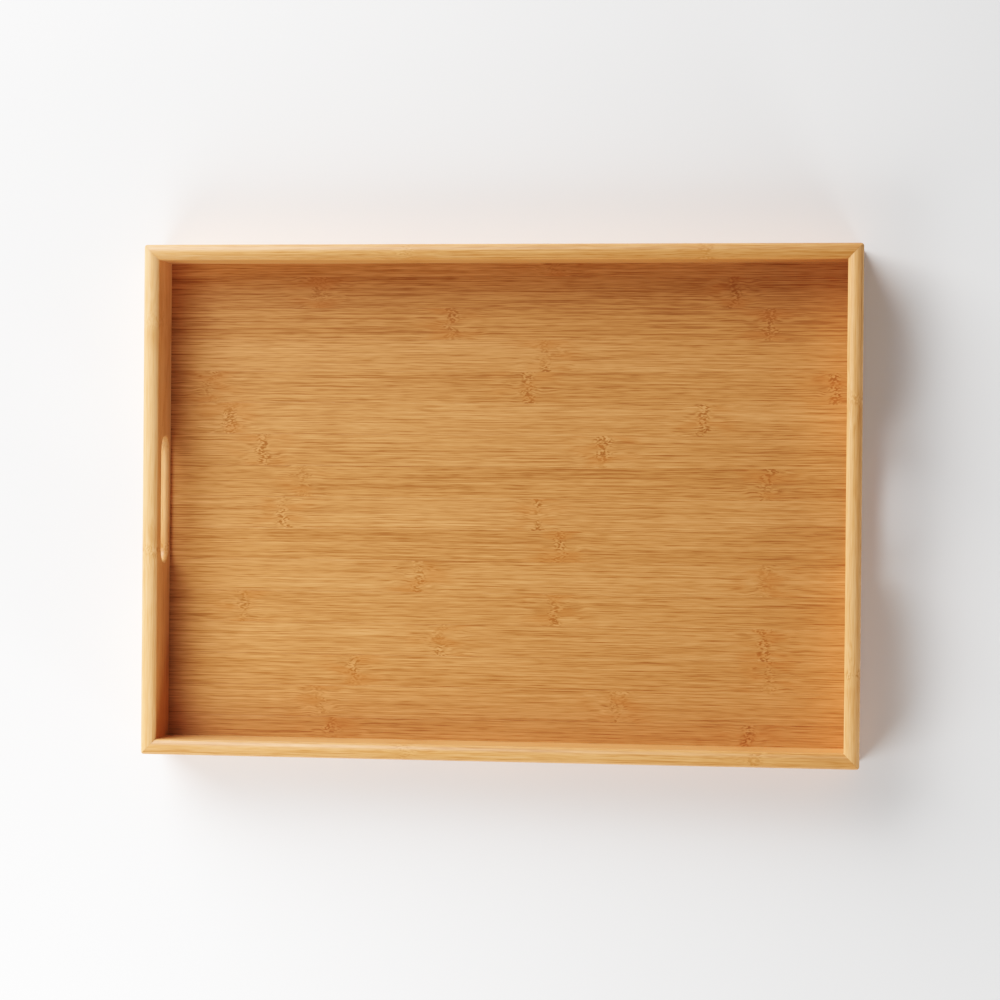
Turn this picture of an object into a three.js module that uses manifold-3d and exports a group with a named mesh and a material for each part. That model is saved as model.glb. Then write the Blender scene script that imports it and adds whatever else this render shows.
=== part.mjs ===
// A bamboo serving tray: four mitred rails around a floor of edge-glued slats.
//
// Millimetres, +Z up. X runs along the tray from one finger slot to the other, and Y runs across it,
// from the front rail to the back rail. The origin is under the middle of the tray, on the surface
// that it stands on.

import * as THREE from 'three';
import { mergeVertices } from 'three/addons/utils/BufferGeometryUtils.js';
import Module from 'manifold-3d';

// The whole tray.
const TRAY_LENGTH = 420;
const TRAY_WIDTH = 300;
const TRAY_HEIGHT = 44;

// The rails. Each is a flat board on edge, with a crowned rim that ends in a soft arris on each side.
const RAIL_THICKNESS = 9;
const RIM_CROWN = 2.5;
const RIM_SEGMENTS = 16;
const FOOT_CHAMFER = 0.8;
const MITRE_GAP = 0.15;
const CORNER_RADIUS = 2;
const CORNER_SEGMENTS = 8;

// The floor: slats laid along X, glued edge to edge, and held all round in a groove in the rails.
// The slats at the front and the back are trimmed, so the seams aren't centred on the tray.
const FLOOR_THICKNESS = 5;
const FLOOR_LIFT = 6.5;
const GROOVE_DEPTH = 4;
const GROOVE_END_GAP = 0.3;
const GROOVE_FACE_GAP = 0.1;
const SLAT_COUNT = 16;
const SLAT_WIDTH = 18.7;
const REAR_SEAM_Y = 133.2;
const SEAM_GAP = 0.1;

// The finger slot in each end rail: a stadium with both faces' edges rounded over.
const SLOT_LENGTH = 77;
const SLOT_HEIGHT = 20;
const SLOT_CENTRE_HEIGHT = 23.5;
const SLOT_ROUNDOVER = 3;
const SLOT_END_SEGMENTS = 16;
const ROUNDOVER_SEGMENTS = 8;

// The hidden spline that keys each mitre, set across the joint above the floor groove.
const SPLINE_WIDTH = 6;
const SPLINE_THICKNESS = 2;
const SPLINE_BOTTOM = 15;
const SPLINE_TOP = 36;
const SPLINE_GAP = 0.15;

const QUARTER_TURN = Math.PI / 2;
const EIGHTH_TURN = Math.PI / 4;

const RAIL_COLOUR = 0xdbb07a;
const SPLINE_COLOUR = 0xc79a5f;
const SLAT_COLOURS = [0xcb9153, 0xc48a4c, 0xcf9859, 0xc08648];

const wasm = await Module();
wasm.setup();

function bamboo(colour) {
  return new THREE.MeshStandardMaterial({ color: colour, roughness: 0.45, metalness: 0 });
}

function toManifold(geometry) {
  const bare = geometry.clone();
  bare.deleteAttribute('normal');
  bare.deleteAttribute('uv');
  const merged = mergeVertices(bare);
  return new wasm.Manifold(new wasm.Mesh({
    numProp: 3,
    vertProperties: new Float32Array(merged.getAttribute('position').array),
    triVerts: new Uint32Array(merged.index.array),
  }));
}

function toGeometry(manifold) {
  const mesh = manifold.getMesh();
  const geometry = new THREE.BufferGeometry();
  geometry.setAttribute('position', new THREE.BufferAttribute(mesh.vertProperties, 3));
  geometry.setIndex(new THREE.BufferAttribute(mesh.triVerts, 1));
  geometry.computeVertexNormals();
  return geometry;
}

// The rail's section. Its x is the distance in from the rail's outer face, and its y is the height.
function railSection() {
  const inner = RAIL_THICKNESS;
  const grooveBack = RAIL_THICKNESS - GROOVE_DEPTH;
  const grooveBottom = FLOOR_LIFT - GROOVE_FACE_GAP;
  const grooveTop = FLOOR_LIFT + FLOOR_THICKNESS + GROOVE_FACE_GAP;
  const half = RAIL_THICKNESS / 2;
  const crownRadius = (half * half + RIM_CROWN * RIM_CROWN) / (2 * RIM_CROWN);
  const arrisAngle = Math.acos(half / crownRadius);

  const section = new THREE.Shape();
  section.moveTo(FOOT_CHAMFER, 0);
  section.lineTo(inner - FOOT_CHAMFER, 0);
  section.lineTo(inner, FOOT_CHAMFER);
  section.lineTo(inner, grooveBottom);
  section.lineTo(grooveBack, grooveBottom);
  section.lineTo(grooveBack, grooveTop);
  section.lineTo(inner, grooveTop);
  section.lineTo(inner, TRAY_HEIGHT - RIM_CROWN);
  section.absarc(half, TRAY_HEIGHT - crownRadius, crownRadius, arrisAngle, Math.PI - arrisAngle, false);
  section.lineTo(0, FOOT_CHAMFER);
  section.closePath();
  return section;
}

// A rail lying along X, with its outer face on Y = 0 and both ends cut at 45 degrees.
function mitredRail(length) {
  const geometry = new THREE.ExtrudeGeometry(railSection(), {
    depth: 1,
    bevelEnabled: false,
    curveSegments: RIM_SEGMENTS,
  });
  const position = geometry.getAttribute('position');
  const inset = MITRE_GAP / Math.SQRT2;
  for (let i = 0; i < position.count; i += 1) {
    const inward = position.getX(i);
    const height = position.getY(i);
    const end = position.getZ(i) > 0.5 ? 1 : -1;
    position.setXYZ(i, end * (length / 2 - inset - inward), inward, height);
  }
  return toManifold(geometry);
}

// Everything behind a rail's outer face, with the tray's corner rounded off at both ends.
function roundedBlank(length) {
  const end = length / 2;
  const plan = new THREE.Shape();
  plan.moveTo(end, RAIL_THICKNESS);
  plan.lineTo(-end, RAIL_THICKNESS);
  plan.absarc(CORNER_RADIUS - end, CORNER_RADIUS, CORNER_RADIUS, Math.PI, 3 * QUARTER_TURN, false);
  plan.absarc(end - CORNER_RADIUS, CORNER_RADIUS, CORNER_RADIUS, -QUARTER_TURN, 0, false);
  plan.closePath();
  const geometry = new THREE.ExtrudeGeometry(plan, {
    depth: TRAY_HEIGHT,
    bevelEnabled: false,
    curveSegments: CORNER_SEGMENTS,
  });
  return toManifold(geometry);
}

// The pocket for a spline at one end of a rail, square across the mitre. The end is 1 or -1.
function splinePocket(length, end) {
  const pocket = new THREE.BoxGeometry(
    SPLINE_WIDTH + 2 * SPLINE_GAP,
    SPLINE_THICKNESS + 2 * SPLINE_GAP,
    SPLINE_TOP - SPLINE_BOTTOM + 2 * SPLINE_GAP,
  );
  pocket.rotateZ(end * EIGHTH_TURN);
  pocket.translate(
    end * (length - RAIL_THICKNESS) / 2,
    RAIL_THICKNESS / 2,
    (SPLINE_TOP + SPLINE_BOTTOM) / 2,
  );
  return toManifold(pocket);
}

// The wood that the finger slot removes. The negative bevel makes it flare towards both faces,
// which leaves a rounded edge on the rail.
function slotCutter() {
  const radius = SLOT_HEIGHT / 2 - SLOT_ROUNDOVER;
  const straight = (SLOT_LENGTH - SLOT_HEIGHT) / 2;
  const stadium = new THREE.Shape();
  stadium.moveTo(-straight, -radius);
  stadium.lineTo(straight, -radius);
  stadium.absarc(straight, 0, radius, -QUARTER_TURN, QUARTER_TURN, false);
  stadium.lineTo(-straight, radius);
  stadium.absarc(-straight, 0, radius, QUARTER_TURN, 3 * QUARTER_TURN, false);

  const cutter = new THREE.ExtrudeGeometry(stadium, {
    depth: RAIL_THICKNESS - 2 * SLOT_ROUNDOVER,
    bevelThickness: SLOT_ROUNDOVER,
    bevelSize: -SLOT_ROUNDOVER,
    bevelOffset: SLOT_ROUNDOVER,
    bevelSegments: ROUNDOVER_SEGMENTS,
    curveSegments: SLOT_END_SEGMENTS,
  });
  cutter.rotateX(QUARTER_TURN);
  cutter.translate(0, RAIL_THICKNESS - SLOT_ROUNDOVER, SLOT_CENTRE_HEIGHT);
  return toManifold(cutter);
}

function railSolid(length) {
  return mitredRail(length)
    .intersect(roundedBlank(length))
    .subtract(splinePocket(length, -1))
    .subtract(splinePocket(length, 1));
}

// Turns a rail and moves it out, so that its outer face lies on the outside of the tray.
function placeRail(name, solid, turn, outX, outY) {
  const rail = new THREE.Mesh(toGeometry(solid), bamboo(RAIL_COLOUR));
  rail.name = name;
  rail.rotation.z = turn;
  rail.position.set(outX, outY, 0);
  return rail;
}

function rails() {
  const frame = new THREE.Group();
  const long = railSolid(TRAY_LENGTH);
  const short = railSolid(TRAY_WIDTH).subtract(slotCutter());
  frame.add(placeRail('rail_front', long, 0, 0, -TRAY_WIDTH / 2));
  frame.add(placeRail('rail_back', long, 2 * QUARTER_TURN, 0, TRAY_WIDTH / 2));
  frame.add(placeRail('rail_left', short, -QUARTER_TURN, -TRAY_LENGTH / 2, 0));
  frame.add(placeRail('rail_right', short, QUARTER_TURN, TRAY_LENGTH / 2, 0));
  return frame;
}

// One slat of the floor, between its back and front edges. Its ends reach into the end rails' grooves.
function slat(number, backEdge, frontEdge) {
  const grip = GROOVE_DEPTH - GROOVE_END_GAP;
  const length = TRAY_LENGTH - 2 * RAIL_THICKNESS + 2 * grip;
  const geometry = new THREE.BoxGeometry(length, backEdge - frontEdge, FLOOR_THICKNESS);
  const board = new THREE.Mesh(geometry, bamboo(SLAT_COLOURS[number % SLAT_COLOURS.length]));
  board.name = `floor_slat_${String(number).padStart(2, '0')}`;
  board.position.set(0, (backEdge + frontEdge) / 2, FLOOR_LIFT + FLOOR_THICKNESS / 2);
  return board;
}

// The slats are numbered from the back of the tray to the front.
function floor() {
  const panel = new THREE.Group();
  const grip = GROOVE_DEPTH - GROOVE_END_GAP;
  const panelEdge = TRAY_WIDTH / 2 - RAIL_THICKNESS + grip;
  for (let number = 1; number <= SLAT_COUNT; number += 1) {
    const frontSeam = REAR_SEAM_Y - (number - 1) * SLAT_WIDTH;
    const backEdge = number === 1 ? panelEdge : frontSeam + SLAT_WIDTH - SEAM_GAP / 2;
    const frontEdge = number === SLAT_COUNT ? -panelEdge : frontSeam + SEAM_GAP / 2;
    panel.add(slat(number, backEdge, frontEdge));
  }
  return panel;
}

// A spline across one mitre. The signs say which corner it is in.
function mitreSpline(name, signX, signY) {
  const geometry = new THREE.BoxGeometry(SPLINE_WIDTH, SPLINE_THICKNESS, SPLINE_TOP - SPLINE_BOTTOM);
  const spline = new THREE.Mesh(geometry, bamboo(SPLINE_COLOUR));
  spline.name = name;
  spline.rotation.z = -signX * signY * EIGHTH_TURN;
  spline.position.set(
    signX * (TRAY_LENGTH - RAIL_THICKNESS) / 2,
    signY * (TRAY_WIDTH - RAIL_THICKNESS) / 2,
    (SPLINE_TOP + SPLINE_BOTTOM) / 2,
  );
  return spline;
}

function splines() {
  const keys = new THREE.Group();
  keys.add(mitreSpline('mitre_spline_front_left', -1, -1));
  keys.add(mitreSpline('mitre_spline_front_right', 1, -1));
  keys.add(mitreSpline('mitre_spline_back_left', -1, 1));
  keys.add(mitreSpline('mitre_spline_back_right', 1, 1));
  return keys;
}

const tray = new THREE.Group();
tray.add(rails(), floor(), splines());

export default tray;
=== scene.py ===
"""A bamboo serving tray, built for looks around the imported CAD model. Metres, in the CAD's frame."""

import math
import random

import bmesh
import bpy
from mathutils import Matrix, Vector


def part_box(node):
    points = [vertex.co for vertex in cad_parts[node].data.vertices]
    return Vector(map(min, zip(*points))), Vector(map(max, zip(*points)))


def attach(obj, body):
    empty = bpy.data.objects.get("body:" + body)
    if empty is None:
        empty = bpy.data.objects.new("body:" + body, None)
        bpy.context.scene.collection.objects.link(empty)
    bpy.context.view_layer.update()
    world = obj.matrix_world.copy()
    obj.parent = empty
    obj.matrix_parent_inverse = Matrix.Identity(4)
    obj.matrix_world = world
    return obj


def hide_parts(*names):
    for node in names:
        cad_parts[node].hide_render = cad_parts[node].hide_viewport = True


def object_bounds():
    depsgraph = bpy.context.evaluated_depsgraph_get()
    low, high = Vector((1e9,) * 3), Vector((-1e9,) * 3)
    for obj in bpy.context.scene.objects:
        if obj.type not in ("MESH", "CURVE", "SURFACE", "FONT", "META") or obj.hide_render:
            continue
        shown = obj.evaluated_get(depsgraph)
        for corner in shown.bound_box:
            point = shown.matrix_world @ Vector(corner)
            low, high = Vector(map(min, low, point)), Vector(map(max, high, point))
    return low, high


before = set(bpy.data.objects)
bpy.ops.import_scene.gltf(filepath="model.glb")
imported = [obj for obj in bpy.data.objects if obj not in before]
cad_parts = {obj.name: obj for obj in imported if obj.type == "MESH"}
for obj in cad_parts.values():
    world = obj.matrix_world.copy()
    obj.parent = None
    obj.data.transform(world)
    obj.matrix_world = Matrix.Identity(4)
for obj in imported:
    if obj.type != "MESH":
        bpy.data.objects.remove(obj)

CAD_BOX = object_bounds()

MM = 0.001

# The tray's own sizes, from the CAD nodes.
BACK_LOW, BACK_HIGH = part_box("rail_back")
SLAT_LOW, SLAT_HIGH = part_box("floor_slat_02")
TRAY_LENGTH = CAD_BOX[1].x - CAD_BOX[0].x
TRAY_WIDTH = CAD_BOX[1].y - CAD_BOX[0].y
TRAY_HEIGHT = CAD_BOX[1].z
RAIL_THICKNESS = BACK_HIGH.y - BACK_LOW.y

# Details of the rails that their boxes don't give. They repeat the CAD's design.
RIM_CROWN = 0.0025
CORNER_RADIUS = 0.002
GROOVE_DEPTH = 0.004
GROOVE_FACE_GAP = 0.0001
SLOT_LENGTH = 0.077
SLOT_HEIGHT = 0.020
SLOT_CENTRE_HEIGHT = 0.0235
SLOT_ROUNDOVER = 0.003

# Fine edges, which the CAD leaves sharp or makes of few faces. An angle is in degrees.
CROWN_STEPS = 40
FILLET_STEPS = 5
ARRIS_RADIUS = 0.0005
FOOT_RADIUS = 0.0008
GROOVE_RADIUS = 0.0002
SLAT_RADIUS = 0.0001
CORNER_STEPS = 6
SLOT_END_STEPS = 40
ROUNDOVER_STEPS = 12
ROUNDOVER_START = 20
CUTTER_REACH = 0.001
MITRE_GAP = 0.00006
RAIL_SHARP_ANGLE = 28
SLAT_SHARP_ANGLE = 40

# How near a vertex is to a rail's inner face to count as part of it.
INNER_LAYER = 0.0003

# Each slat of the floor, from the back of the tray to the front: how light it is, and where its
# bamboo nodes lie along the tray, in millimetres from the middle.
# How light a slat is mixes its strip's own tone with painted light: the last slats at the front are made
# lighter to offset the shade of the front rail.
SLATS = (
    (0.0, (29,)),
    (-1.0, (-111, 135)),
    (-1.2, (-32, 156)),
    (0.4, (25,)),
    (-0.6, (-177, 15, 194)),
    (0.4, (-165, 118)),
    (0.1, (-144, 59)),
    (-0.8, (-120, 155)),
    (0.7, (-132, 21)),
    (-0.4, (34,)),
    (0.4, (-49, 154)),
    (-0.1, (-155, 31)),
    (0.6, (-37, 154)),
    (0.2, (-88, 157)),
    (0.9, (-110, 69)),
    (0.9, (-101, 146)),
)

# The rails' bamboo nodes, in millimetres from the middle of each rail, towards its own +X end
# as it lies before it is turned into place.
RAIL_NODES = {
    "rail_front": (-52, 150),
    "rail_back": (51, -120),
    "rail_left": (-106, 30),
    "rail_right": (-96, 60),
}

# How light each rail is: at its own -X end, at its +X end, and what its inner face adds to that.
# Along with the bamboo's own tone these hold painted light: the left rail is made lighter than the
# others, each rail fades from end to end as the light does, and the inner faces get painted light on
# the front and back rails and painted shade on the left one.
RAIL_TONES_AND_PAINTED_LIGHT = {
    "rail_front": (-0.6, -1.9, 2.5),
    "rail_back": (-3.4, 0.6, 0.8),
    "rail_left": (4.2, 2.8, -2.6),
    "rail_right": (1.6, 1.0, 0),
}

# Bamboo. A pattern is its features' length along the fibres, their width across, and any finer detail.
BANDS = (0.160, 0.0050, 1.0)
BANDS_SHARE = 0.38
FIBRES = (0.050, 0.0016)
FIBRES_SHARE = 0.20
LONG_THREADS = (0.110, 0.00070)
THREADS = (0.024, 0.00055)
DASHES = (0.009, 0.00050)
THREAD_SHARES = (0.55, 0.50, 0.42)
THREAD_DEPTHS = (-0.07, -0.11, -0.08)
DEEPEST = (-0.07, -0.15)
SWAY = (0.120, 0.016)
SWAY_BY = 0.0010
SWIRL = (0.012, 0.005)
SWIRL_BY = 0.0026
CRINKLE = (0.0030, 0.0014)
CRINKLE_BY = 0.0020
MIDDLE_TONE = 0.53
TONE_STEP = 0.10
RELIEF = 0.00003

# Where a strip's bamboo nodes are: how far they wander, and from where to where they fade.
KNOT_WANDER = (0.3, 0.004)
KNOT_WANDER_BY = 0.012
KNOT_CORE = (0.0048, 0.0012)
KNOT_REACH = (0.028, 0.003)
KNOT_PATCHES = (0.030, 0.020)
KNOT_STRENGTHS = (-0.10, 0.08, 0.35, 0.95)
FLECKS = (0.0022, 0.0008)
DARK_FLECKS = (0.03, -0.10)
DARK_FLECKS_DEPTH = -0.62
PALE_FLECKS = (0.06, 0.16)
PALE_FLECKS_HEIGHT = 0.20
BLUSH = (0.018, 0.006)
BLUSH_STRENGTHS = (-0.1, 0.2, 0, 0.45)

# The end grain on the splines.
FIBRE_ENDS = (0.0004, 0.0004, 2.0)
FIBRE_ENDS_SHARE = 1.2
CLOUDS = (0.004, 0.004, 1.0)
CLOUDS_SHARE = 0.6
END_MIDDLE_TONE = 0.5

# Wear on the rim's arrises, and the lacquer.
WEAR_LIGHTENS = 0.10
WEAR_RAGGED_BY = 0.002
WEAR_REACH = (0.0010, 0.0002)
RAIL_ROUGHNESS = 0.40
FLOOR_ROUGHNESS = 0.42
ROUGHNESS_BY_LIGHTNESS = -0.2
SPLINE_ROUGHNESS = 0.5
COAT_WEIGHT = 0.2
COAT_ROUGHNESS = 0.25

# The camera: its lens and sensor in millimetres, its place from the tray's middle and above the rim's
# arrises, and its turns about X, Y and Z in degrees.
CAMERA_LENS = 98
CAMERA_SENSOR = 36
CAMERA_RIGHT = 0.2095
CAMERA_BACK = 0.014
CAMERA_ABOVE_RIM = 1.562
CAMERA_TURNS = (-0.45, 7.555, 0.547)

# The softboxes: degrees anticlockwise from +X, degrees above the ground, distance from the tray, width,
# watts, and whether the lacquer shows them.
LIGHTS = {
    "key": (132, 29, 1.6, 1.5, 38, True),
    "near_fill": (232, 40, 0.8, 0.5, 3.5, False),
    "low_fill": (312, 12, 1.2, 0.4, 5.2, False),
}

# The studio's floor, the light from all round, and how bright the wall looks to the camera.
STAGE_REACH = 4
STAGE_COLOUR = (0.95, 0.95, 0.95, 1)
STAGE_ROUGHNESS = 0.9
ROOM_LIGHT = 0.09
WALL_SEEN = 0.9

# How bright each light value is shown, and the light value that is shown as white.
CAMERA_RESPONSE = ((0.03, 0.029), (0.08, 0.096), (0.2, 0.27), (0.5, 0.585), (1.0, 0.88))
CURVE_WHITE = 1.5


# ---------------------------------------------------------------- outlines and meshes


def fillet(before, corner, after, radius, steps):
    """The points of an arc that rounds one corner of an outline."""
    a = (before - corner).normalized()
    b = (after - corner).normalized()
    half = a.angle(b) / 2
    centre = corner + (a + b).normalized() * radius / math.sin(half)
    start = corner + a * radius / math.tan(half) - centre
    end = corner + b * radius / math.tan(half) - centre
    sweep = start.angle_signed(end)
    return [centre + Matrix.Rotation(-sweep * i / steps, 2) @ start for i in range(steps + 1)]


def outline(corners):
    """An outline's points, from corners that each have a place and a radius. A radius of 0 is sharp."""
    places = [Vector(place) for place, _ in corners]
    points = []
    for i, (_, radius) in enumerate(corners):
        if radius:
            before, after = places[i - 1], places[(i + 1) % len(places)]
            points += fillet(before, places[i], after, radius, FILLET_STEPS)
        else:
            points.append(places[i])
    return points


def rail_section():
    """The rail's section, as points of (distance in from the outer face, height)."""
    inner = RAIL_THICKNESS
    groove_back = inner - GROOVE_DEPTH
    groove_low = SLAT_LOW.z - GROOVE_FACE_GAP
    groove_high = SLAT_HIGH.z + GROOVE_FACE_GAP
    arris = TRAY_HEIGHT - RIM_CROWN
    half = inner / 2
    crown_radius = (half * half + RIM_CROWN * RIM_CROWN) / (2 * RIM_CROWN)
    arris_angle = math.acos(half / crown_radius)
    crown = []
    for i in range(1, CROWN_STEPS):
        angle = arris_angle + (math.pi - 2 * arris_angle) * i / CROWN_STEPS
        height = TRAY_HEIGHT - crown_radius + crown_radius * math.sin(angle)
        crown.append(((half + crown_radius * math.cos(angle), height), 0))
    return outline(
        [
            ((0, 0), FOOT_RADIUS),
            ((inner, 0), FOOT_RADIUS),
            ((inner, groove_low), GROOVE_RADIUS),
            ((groove_back, groove_low), 0),
            ((groove_back, groove_high), 0),
            ((inner, groove_high), GROOVE_RADIUS),
            ((inner, arris), ARRIS_RADIUS),
            *crown,
            ((0, arris), ARRIS_RADIUS),
        ]
    )


def loft(rings):
    """A closed mesh through rings of points, capped at both ends."""
    mesh = bmesh.new()
    loops = [[mesh.verts.new(point) for point in ring] for ring in rings]
    count = len(loops[0])
    for near, far in zip(loops, loops[1:]):
        for i in range(count):
            j = (i + 1) % count
            mesh.faces.new((near[i], near[j], far[j], far[i]))
    mesh.faces.new(loops[0])
    mesh.faces.new(reversed(loops[-1]))
    bmesh.ops.recalc_face_normals(mesh, faces=mesh.faces)
    return mesh


def stations_for(half_length, knots):
    """Where a piece has a ring of vertices: at its ends, its bamboo nodes and halfway between them."""
    inner = sorted(knots)
    halfway = [(a + b) / 2 for a, b in zip(inner, inner[1:])]
    return [-half_length, *sorted(inner + halfway), half_length]


def to_object(mesh, name):
    data = bpy.data.meshes.new(name + "_mesh")
    mesh.to_mesh(data)
    mesh.free()
    made = bpy.data.objects.new(name, data)
    bpy.context.scene.collection.objects.link(made)
    return made


def cut(piece, cutters):
    """Cuts the cutters' shapes out of a piece, and removes them."""
    bpy.context.view_layer.objects.active = piece
    for cutter in cutters:
        boolean = piece.modifiers.new("cut", "BOOLEAN")
        boolean.operation = "DIFFERENCE"
        boolean.solver = "EXACT"
        boolean.object = cutter
        bpy.ops.object.modifier_apply(modifier=boolean.name)
        bpy.data.objects.remove(cutter)


def smooth(piece, limit_degrees):
    """Smooth shading that keeps edges sharper than the limit, with large faces kept flat."""
    for face in piece.data.polygons:
        face.use_smooth = True
    piece.data.set_sharp_from_angle(angle=math.radians(limit_degrees))
    weighted = piece.modifiers.new("weighted normals", "WEIGHTED_NORMAL")
    weighted.keep_sharp = True


# ---------------------------------------------------------------- grain, carried by the vertices


def give_grain_tone_and_painted_light(piece, half_length, knots, tones):
    """Writes what the bamboo material reads. X must still be along the fibres.

    "wood" is a vertex's own place in its piece. "shift" is a random step for each piece, so that no
    two pieces show the same fibres. "knot" is the distance along the fibres to the nearest node.
    "tone" is how light the bamboo is: its own tone with painted light and shade in it. It is given at
    the -X end and at the +X end, with the painted light and shade that is added to it on a rail's inner
    face.
    """
    low_end, high_end, inner_face_painted_light_and_shade = tones
    chance = random.Random(piece.name)
    shift = [chance.uniform(-2, 2) for _ in range(3)]
    wood, knot, tone = [], [], []
    for vertex in piece.data.vertices:
        nearest = min(knots, key=lambda k: abs(vertex.co.x - k))
        wood.extend(vertex.co)
        knot.append(vertex.co.x - nearest)
        share = (vertex.co.x / half_length + 1) / 2
        on_inner_face = vertex.co.y > RAIL_THICKNESS - INNER_LAYER
        # A rail's inner face gets painted light or painted shade added to its tone here.
        tone.append(low_end + (high_end - low_end) * share + inner_face_painted_light_and_shade * on_inner_face)
    attributes = piece.data.attributes
    attributes.new("wood", "FLOAT_VECTOR", "POINT").data.foreach_set("vector", wood)
    attributes.new("shift", "FLOAT_VECTOR", "POINT").data.foreach_set("vector", shift * len(knot))
    attributes.new("knot", "FLOAT", "POINT").data.foreach_set("value", knot)
    attributes.new("tone", "FLOAT", "POINT").data.foreach_set("value", tone)


# ---------------------------------------------------------------- the pieces


def stadium(half_straight, radius):
    """A slot's outline, anticlockwise."""
    points = []
    for side in (1, -1):
        for i in range(SLOT_END_STEPS + 1):
            angle = math.pi * (i / SLOT_END_STEPS - 0.5)
            outward = side * Vector((math.cos(angle), math.sin(angle)))
            points.append(Vector((side * half_straight, 0)) + radius * outward)
    return points


def slot_cutter():
    """The wood that a finger slot removes, flared at both faces so that it leaves a rounded edge."""
    start = math.radians(ROUNDOVER_START)
    clear = SLOT_HEIGHT / 2 - SLOT_ROUNDOVER * (1 - math.sin(start))
    flare = []
    for i in range(ROUNDOVER_STEPS + 1):
        angle = start + (math.pi / 2 - start) * i / ROUNDOVER_STEPS
        depth = SLOT_ROUNDOVER * (math.cos(start) - math.cos(angle))
        flare.append((depth, clear + SLOT_ROUNDOVER * (1 - math.sin(angle))))
    profile = [(-CUTTER_REACH, flare[0][1]), *flare]
    profile += [(RAIL_THICKNESS - depth, radius) for depth, radius in reversed(profile)]
    straight = (SLOT_LENGTH - SLOT_HEIGHT) / 2
    rings = []
    for depth, radius in profile:
        points = stadium(straight, radius)
        rings.append([(point.x, depth, SLOT_CENTRE_HEIGHT + point.y) for point in points])
    return to_object(loft(rings), "slot_cutter")


def corner_stations(length, knots):
    """Where a rail has a ring of vertices, with extra rings round the eased corner at each end."""
    middle = stations_for(length / 2 - CORNER_RADIUS, knots)
    round_the_corner = []
    for i in range(1, CORNER_STEPS + 1):
        angle = math.pi / 4 * i / CORNER_STEPS
        round_the_corner.append(length / 2 - CORNER_RADIUS * (1 - math.sin(angle)))
    return [-x for x in reversed(round_the_corner)] + middle + round_the_corner


def make_rail(name, length, turn, out, slotted, material):
    """A mitred rail. It is made along X with its outer face on Y = 0, and then turned and moved out."""
    knots = [k * MM for k in RAIL_NODES[name]]
    stations = corner_stations(length, knots)

    def place(point, station):
        into_corner = max(0, abs(station) - (length / 2 - CORNER_RADIUS))
        eased = CORNER_RADIUS - math.sqrt(CORNER_RADIUS**2 - into_corner**2)
        inward = max(point.x, eased)
        end = length / 2 - MITRE_GAP / math.sqrt(2) - inward
        at_end = station in (stations[0], stations[-1])
        along = math.copysign(end, station) if at_end else max(-end, min(end, station))
        return (along, inward, point.y)

    section = rail_section()
    rings = [[place(point, station) for point in section] for station in stations]
    rail = to_object(loft(rings), name + "_bamboo")
    if slotted:
        cut(rail, [slot_cutter()])
    give_grain_tone_and_painted_light(rail, length / 2, knots, RAIL_TONES_AND_PAINTED_LIGHT[name])
    rail.data.transform(Matrix.Translation(out) @ Matrix.Rotation(turn, 4, "Z"))
    smooth(rail, RAIL_SHARP_ANGLE)
    finish_piece(rail, name, material)


def make_slat(number, tone, knots_mm, material):
    """One slat of the floor with eased edges, in its CAD node's place but meeting the slat behind it."""
    name = f"floor_slat_{number:02d}"
    low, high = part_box(name)
    low, high = low.copy(), high.copy()
    if number > 1:
        high.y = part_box(f"floor_slat_{number - 1:02d}")[0].y
    knots = [k * MM for k in knots_mm]
    section = outline(
        [
            ((low.y, low.z), SLAT_RADIUS),
            ((high.y, low.z), SLAT_RADIUS),
            ((high.y, high.z), SLAT_RADIUS),
            ((low.y, high.z), SLAT_RADIUS),
        ]
    )
    stations = stations_for((high.x - low.x) / 2, knots)
    rings = [[(x, point.x, point.y) for point in section] for x in stations]
    slat = to_object(loft(rings), name + "_bamboo")
    give_grain_tone_and_painted_light(slat, (high.x - low.x) / 2, knots, (tone, tone, 0))
    smooth(slat, SLAT_SHARP_ANGLE)
    finish_piece(slat, name, material)


def finish_piece(piece, node, material):
    piece.data.materials.append(material)
    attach(piece, "root")
    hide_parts(node)


# ---------------------------------------------------------------- materials


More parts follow.
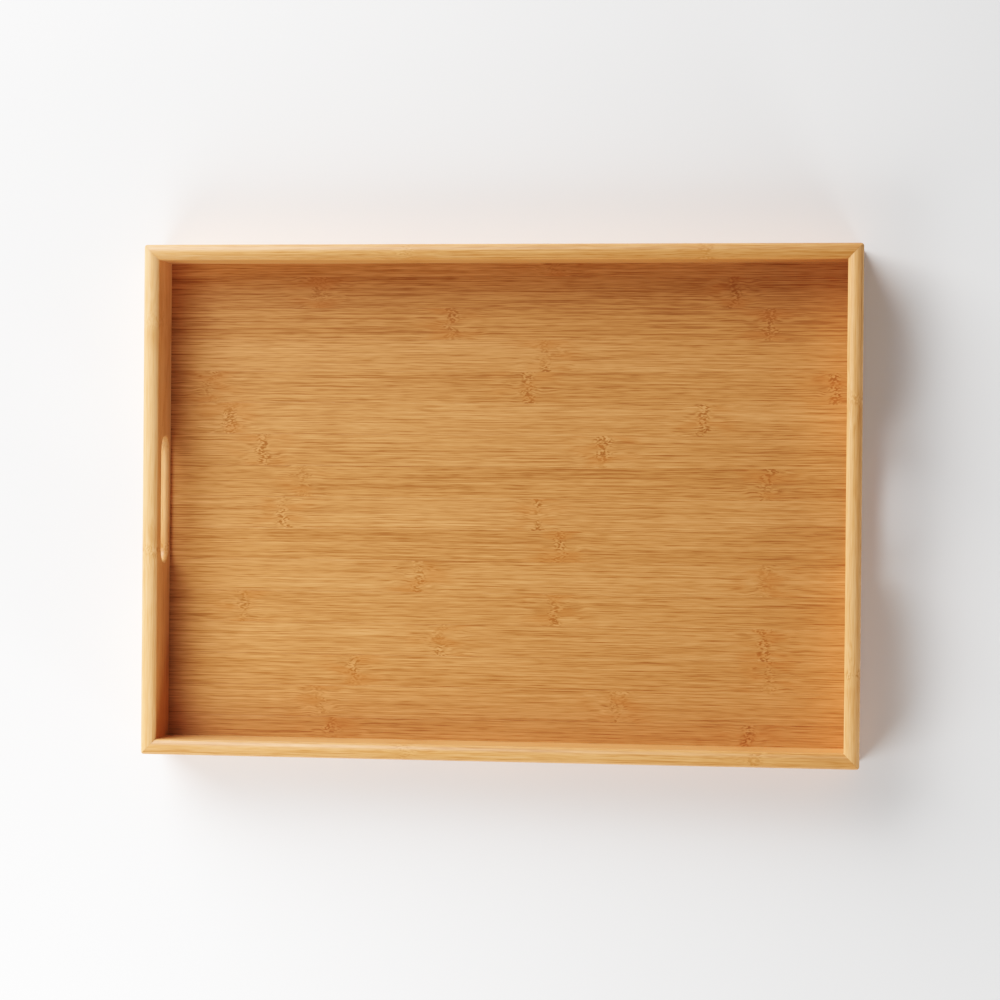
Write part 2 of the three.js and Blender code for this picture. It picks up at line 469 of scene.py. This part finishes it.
class Tree:
    """A short way to write a material's or the world's nodes. Each call returns an output socket."""

    def __init__(self, owner):
        owner.use_nodes = True
        self.nodes = owner.node_tree.nodes
        self.links = owner.node_tree.links
        self.shader = self.nodes.get("Principled BSDF")

    def put(self, socket, value):
        if isinstance(value, bpy.types.NodeSocket):
            self.links.new(value, socket)
        else:
            socket.default_value = value

    def attribute(self, name, output="Fac"):
        node = self.nodes.new("ShaderNodeAttribute")
        node.attribute_name = name
        return node.outputs[output]

    def maths(self, operation, a, b=0.0, c=0.0):
        node = self.nodes.new("ShaderNodeMath")
        node.operation = operation
        for socket, value in zip(node.inputs, (a, b, c)):
            self.put(socket, value)
        return node.outputs[0]

    def vector(self, operation, a, b):
        node = self.nodes.new("ShaderNodeVectorMath")
        node.operation = operation
        self.put(node.inputs[0], a)
        self.put(node.inputs[1], b)
        return node.outputs[0]

    def pattern(self, place, along, across, detail=0.0):
        """A soft random pattern around 0. Its features have the sizes given, in metres."""
        node = self.nodes.new("ShaderNodeTexNoise")
        scaled = self.vector("MULTIPLY", place, (1 / along, 1 / across, 1 / across))
        self.put(node.inputs["Vector"], scaled)
        self.put(node.inputs["Scale"], 1.0)
        self.put(node.inputs["Detail"], detail)
        return self.maths("SUBTRACT", node.outputs["Fac"], 0.5)

    def ease(self, value, low, high, to_low=0.0, to_high=1.0):
        """A smooth step from one value to another."""
        node = self.nodes.new("ShaderNodeMapRange")
        node.interpolation_type = "SMOOTHSTEP"
        for name, setting in zip(
            ("Value", "From Min", "From Max", "To Min", "To Max"), (value, low, high, to_low, to_high)
        ):
            self.put(node.inputs[name], setting)
        return node.outputs["Result"]

    def ramp(self, value, stops):
        node = self.nodes.new("ShaderNodeValToRGB")
        elements = node.color_ramp.elements
        while len(elements) < len(stops):
            elements.new(0.5)
        for element, (position, colour) in zip(elements, stops):
            element.position = position
            element.color = (*colour, 1)
        self.put(node.inputs["Fac"], value)
        return node.outputs["Color"]

    def mix_value(self, share, a, b):
        node = self.nodes.new("ShaderNodeMix")
        self.put(node.inputs["Factor"], share)
        self.put(node.inputs["A"], a)
        self.put(node.inputs["B"], b)
        return node.outputs["Result"]

    def mix_colour(self, share, a, b):
        """Mixes two colours. A Mix node's colour sockets are its inputs 6 and 7 and its output 2."""
        node = self.nodes.new("ShaderNodeMix")
        node.data_type = "RGBA"
        self.put(node.inputs["Factor"], share)
        self.put(node.inputs[6], a)
        self.put(node.inputs[7], (*b, 1))
        return node.outputs[2]

    def bump(self, height, distance):
        node = self.nodes.new("ShaderNodeBump")
        self.put(node.inputs["Height"], height)
        self.put(node.inputs["Distance"], distance)
        self.put(node.inputs["Strength"], 1.0)
        return node.outputs["Normal"]


def knot_masks(tree, place):
    """How surely a place is in a bamboo node and near one. A node wanders as it crosses the strip."""
    wander = tree.maths("MULTIPLY", tree.pattern(place, *KNOT_WANDER), KNOT_WANDER_BY)
    distance = tree.maths("ABSOLUTE", tree.maths("ADD", tree.attribute("knot"), wander))
    return tree.ease(distance, *KNOT_CORE), tree.ease(distance, *KNOT_REACH)


def bend_fibres(tree, place, at_knot, near_knot):
    """The place with the fibres' sway in it, which grows to a swirl near a node and a crinkle in it."""
    sway = tree.maths("MULTIPLY", tree.pattern(place, *SWAY), SWAY_BY)
    swirl = tree.maths("MULTIPLY", tree.pattern(place, *SWIRL), SWIRL_BY)
    crinkle = tree.maths("MULTIPLY", tree.pattern(place, *CRINKLE), CRINKLE_BY)
    bend = tree.maths("MULTIPLY_ADD", swirl, near_knot, sway)
    bend = tree.maths("MULTIPLY_ADD", crinkle, at_knot, bend)
    across = tree.nodes.new("ShaderNodeCombineXYZ")
    tree.put(across.inputs["Y"], bend)
    tree.put(across.inputs["Z"], bend)
    return tree.vector("ADD", place, across.outputs[0])


def fibre_lines(tree, bent, threads):
    """The fibres' lightness around 0: soft stripes of several lengths, with the deepest darkened."""
    patterns = [tree.pattern(bent, *LONG_THREADS), threads, tree.pattern(bent, *DASHES)]
    lines = tree.maths("MULTIPLY", tree.pattern(bent, *FIBRES), FIBRES_SHARE)
    for pattern, share in zip(patterns, THREAD_SHARES):
        lines = tree.maths("MULTIPLY_ADD", pattern, share, lines)
    for pattern, depth in zip(patterns, THREAD_DEPTHS):
        lines = tree.maths("MULTIPLY_ADD", tree.ease(pattern, *DEEPEST), depth, lines)
    return lines


def broken_fibres(tree, flecks):
    """The lightness inside a node around 0: dark flecks with a few pale ones."""
    broken = tree.maths("MULTIPLY", tree.ease(flecks, *DARK_FLECKS), DARK_FLECKS_DEPTH)
    return tree.maths("MULTIPLY_ADD", tree.ease(flecks, *PALE_FLECKS), PALE_FLECKS_HEIGHT, broken)


def bamboo(name, dark, middle, light, knot_tint, contrast, worn_edges):
    """Lacquered bamboo: long straight fibres, broken up where a bamboo node crosses the strip."""
    material = bpy.data.materials.new(name)
    tree = Tree(material)
    wood = tree.attribute("wood", "Vector")
    place = tree.vector("ADD", wood, tree.attribute("shift", "Vector"))
    at_knot, near_knot = knot_masks(tree, place)
    bent = bend_fibres(tree, place, at_knot, near_knot)

    threads = tree.pattern(bent, *THREADS)
    flecks = tree.pattern(bent, *FLECKS)
    lines = fibre_lines(tree, bent, threads)
    marked = tree.ease(tree.pattern(place, *KNOT_PATCHES), *KNOT_STRENGTHS)
    grain = tree.mix_value(tree.maths("MULTIPLY", at_knot, marked), lines, broken_fibres(tree, flecks))

    # The tone attribute brings the painted light and shade of the rails' and slats' tones into the
    # colour.
    value = tree.maths("MULTIPLY_ADD", tree.attribute("tone"), TONE_STEP, MIDDLE_TONE)
    value = tree.maths("MULTIPLY_ADD", tree.pattern(bent, *BANDS), BANDS_SHARE * contrast, value)
    value = tree.maths("MULTIPLY_ADD", grain, contrast, value)
    if worn_edges:
        value = tree.maths("MULTIPLY_ADD", rim_wear(tree, wood, threads), WEAR_LIGHTENS, value)

    colour = tree.ramp(value, ((0.0, dark), (0.5, middle), (1.0, light)))
    blush = tree.ease(tree.pattern(place, *BLUSH), *BLUSH_STRENGTHS)
    colour = tree.mix_colour(tree.maths("MULTIPLY", near_knot, blush), colour, knot_tint)
    tree.put(tree.shader.inputs["Base Color"], colour)

    relief = tree.maths("ADD", lines, tree.maths("MULTIPLY", flecks, at_knot))
    tree.put(tree.shader.inputs["Normal"], tree.bump(relief, RELIEF))
    if worn_edges:
        lacquer(tree, RAIL_ROUGHNESS)
    else:
        lacquer(tree, tree.maths("MULTIPLY_ADD", lines, ROUGHNESS_BY_LIGHTNESS, FLOOR_ROUGHNESS))
    return material


def lacquer(tree, roughness):
    """A thin satin coat over the wood."""
    tree.put(tree.shader.inputs["Roughness"], roughness)
    tree.put(tree.shader.inputs["Coat Weight"], COAT_WEIGHT)
    tree.put(tree.shader.inputs["Coat Roughness"], COAT_ROUGHNESS)


def rim_wear(tree, wood, threads):
    """Where handling has paled the two arrises of the rim: 1 on an arris, 0 a millimetre away."""
    split = tree.nodes.new("ShaderNodeSeparateXYZ")
    tree.put(split.inputs[0], wood)
    from_outer = split.outputs["Y"]
    from_inner = tree.maths("SUBTRACT", RAIL_THICKNESS, from_outer)
    sideways = tree.maths("MINIMUM", from_outer, from_inner)
    upwards = tree.maths("SUBTRACT", split.outputs["Z"], TRAY_HEIGHT - RIM_CROWN)
    square = tree.maths("MULTIPLY_ADD", upwards, upwards, tree.maths("MULTIPLY", sideways, sideways))
    distance = tree.maths("SQRT", square)
    ragged = tree.maths("MULTIPLY_ADD", threads, WEAR_RAGGED_BY, distance)
    return tree.ease(ragged, *WEAR_REACH)


def floor_bamboo():
    return bamboo(
        "floor_bamboo",
        dark=(0.315, 0.105, 0.018),
        middle=(0.530, 0.221, 0.065),
        light=(0.710, 0.330, 0.122),
        knot_tint=(0.46, 0.145, 0.028),
        contrast=1.0,
        worn_edges=False,
    )


def rail_bamboo():
    return bamboo(
        "rail_bamboo",
        dark=(0.500, 0.195, 0.048),
        middle=(0.740, 0.350, 0.124),
        light=(0.870, 0.480, 0.215),
        knot_tint=(0.60, 0.240, 0.065),
        contrast=0.8,
        worn_edges=True,
    )


def spline_bamboo():
    """The splines' end grain: fine dark fibre ends scattered over pale bamboo."""
    material = bpy.data.materials.new("spline_bamboo")
    tree = Tree(material)
    place = tree.nodes.new("ShaderNodeNewGeometry").outputs["Position"]
    fibre_ends = tree.pattern(place, *FIBRE_ENDS)
    clouds = tree.pattern(place, *CLOUDS)
    value = tree.maths("MULTIPLY_ADD", fibre_ends, FIBRE_ENDS_SHARE, END_MIDDLE_TONE)
    value = tree.maths("MULTIPLY_ADD", clouds, CLOUDS_SHARE, value)
    dark, middle, light = (0.46, 0.175, 0.045), (0.70, 0.330, 0.115), (0.84, 0.46, 0.20)
    colour = tree.ramp(value, ((0.0, dark), (0.5, middle), (1.0, light)))
    tree.put(tree.shader.inputs["Base Color"], colour)
    lacquer(tree, SPLINE_ROUGHNESS)
    return material


def finish_splines(material):
    """The CAD's own splines stay as they are, and only take a material."""
    for name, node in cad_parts.items():
        if name.startswith("mitre_spline"):
            node.data.materials.clear()
            node.data.materials.append(material)


# ---------------------------------------------------------------- floor, light and camera


def make_stage():
    """A plain pale floor under the tray."""
    mesh = bmesh.new()
    bmesh.ops.create_grid(mesh, x_segments=1, y_segments=1, size=STAGE_REACH)
    floor = to_object(mesh, "studio_floor")
    material = bpy.data.materials.new("studio_floor")
    tree = Tree(material)
    tree.put(tree.shader.inputs["Base Color"], STAGE_COLOUR)
    tree.put(tree.shader.inputs["Roughness"], STAGE_ROUGHNESS)
    floor.data.materials.append(material)


def make_light(name, azimuth, elevation, distance, width, watts, glossy):
    """A square softbox that faces the tray. It shows in the lacquer only if it is glossy."""
    data = bpy.data.lights.new(name, "AREA")
    data.shape = "SQUARE"
    data.size = width
    data.energy = watts
    turn, rise = math.radians(azimuth), math.radians(elevation)
    flat = distance * math.cos(rise)
    place = (flat * math.cos(turn), flat * math.sin(turn), distance * math.sin(rise))
    light = bpy.data.objects.new(name, data)
    light.location = place
    light.rotation_euler = (-Vector(place)).to_track_quat("-Z", "Y").to_euler()
    light.visible_glossy = glossy
    bpy.context.scene.collection.objects.link(light)


def make_lights():
    """A large soft key behind the tray on its left, a near fill in front of it and a low one opposite."""
    for name, settings in LIGHTS.items():
        make_light(name, *settings)


def make_world():
    """Faint even light from all round. The wall of the studio itself is seen as pale as its floor."""
    world = bpy.data.worlds.new("studio")
    tree = Tree(world)
    seen = tree.nodes.new("ShaderNodeLightPath").outputs["Is Camera Ray"]
    strength = tree.maths("MULTIPLY_ADD", seen, WALL_SEEN - ROOM_LIGHT, ROOM_LIGHT)
    tree.put(tree.nodes["Background"].inputs["Color"], (1, 1, 1, 1))
    tree.put(tree.nodes["Background"].inputs["Strength"], strength)
    bpy.context.scene.world = world


def make_camera():
    data = bpy.data.cameras.new("camera")
    data.lens = CAMERA_LENS
    data.sensor_width = CAMERA_SENSOR
    camera = bpy.data.objects.new("camera", data)
    camera.location = (CAMERA_RIGHT, CAMERA_BACK, TRAY_HEIGHT - RIM_CROWN + CAMERA_ABOVE_RIM)
    camera.rotation_mode = "ZYX"
    camera.rotation_euler = [math.radians(angle) for angle in CAMERA_TURNS]
    bpy.context.scene.collection.objects.link(camera)
    bpy.context.scene.camera = camera


def make_tray():
    rails = rail_bamboo()
    quarter = math.pi / 2
    make_rail("rail_front", TRAY_LENGTH, 0, (0, -TRAY_WIDTH / 2, 0), False, rails)
    make_rail("rail_back", TRAY_LENGTH, 2 * quarter, (0, TRAY_WIDTH / 2, 0), False, rails)
    make_rail("rail_left", TRAY_WIDTH, -quarter, (-TRAY_LENGTH / 2, 0, 0), True, rails)
    make_rail("rail_right", TRAY_WIDTH, quarter, (TRAY_LENGTH / 2, 0, 0), True, rails)
    slats = floor_bamboo()
    for number, (tone, knots) in enumerate(SLATS, start=1):
        make_slat(number, tone, knots, slats)
    finish_splines(spline_bamboo())


def develop():
    """Gives the picture a camera's usual response: firm shadows and highlights that roll off."""
    settings = bpy.context.scene.view_settings
    settings.view_transform = "Standard"
    settings.use_curve_mapping = True
    mapping = settings.curve_mapping
    mapping.white_level = (CURVE_WHITE, CURVE_WHITE, CURVE_WHITE)
    points = mapping.curves[-1].points  # the curve for all three colours
    points[0].location = (0, 0)
    points[1].location = (1, 1)
    for light, shown in CAMERA_RESPONSE:
        points.new(light / CURVE_WHITE, shown)
    mapping.update()


make_camera()
make_tray()
make_stage()
make_lights()
make_world()
develop()
